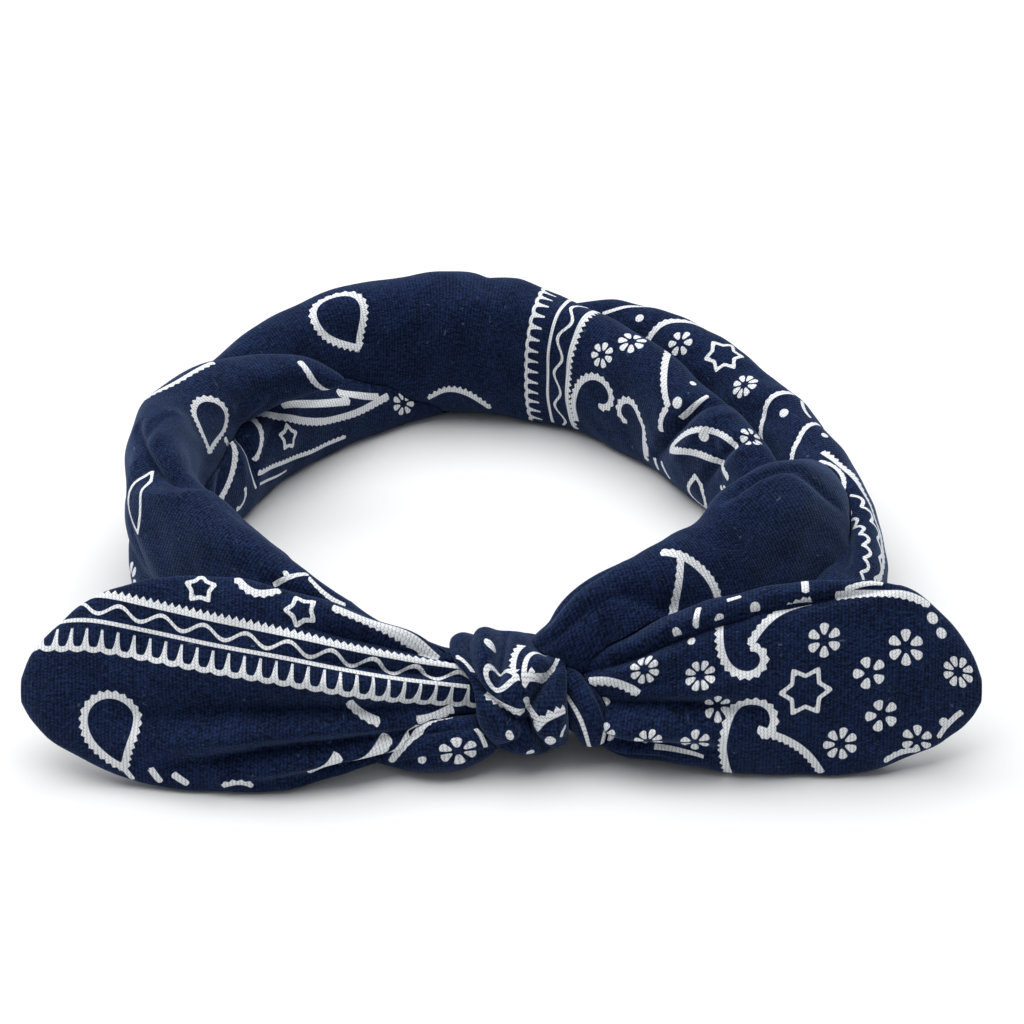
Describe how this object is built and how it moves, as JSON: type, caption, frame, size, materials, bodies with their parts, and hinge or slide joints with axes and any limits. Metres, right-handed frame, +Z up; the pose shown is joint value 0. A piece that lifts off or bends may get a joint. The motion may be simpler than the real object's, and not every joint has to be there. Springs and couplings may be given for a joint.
{
  "type": "bandana headband",
  "caption": "Soft fabric headband lying flat: a folded jersey loop in navy with a paisley bandana print, gathered into a small front knot with leaf-shaped bow tails.",
  "frame": {"origin": "middle of the footprint, on the surface that the headband lies on", "axes": "+Z up out of that surface, +X along the bow towards the tail on the right as seen from the front, -Y towards the knot"},
  "size_m": [0.2116, 0.174, 0.046],
  "materials": {
    "printed_jersey": "matt cotton jersey, navy with a white bandana print"
  },
  "bodies": {
    "root": {"knot_wrap": "printed_jersey", "knot_tuck_left": "printed_jersey", "knot_strand_right": "printed_jersey", "tail_left": "printed_jersey", "tail_right": "printed_jersey", "band_front_right": "printed_jersey", "band_left": "printed_jersey", "band_outer_right": "printed_jersey", "band_back": "printed_jersey", "band_inner_left": "printed_jersey"}
  },
  "joints": []
}
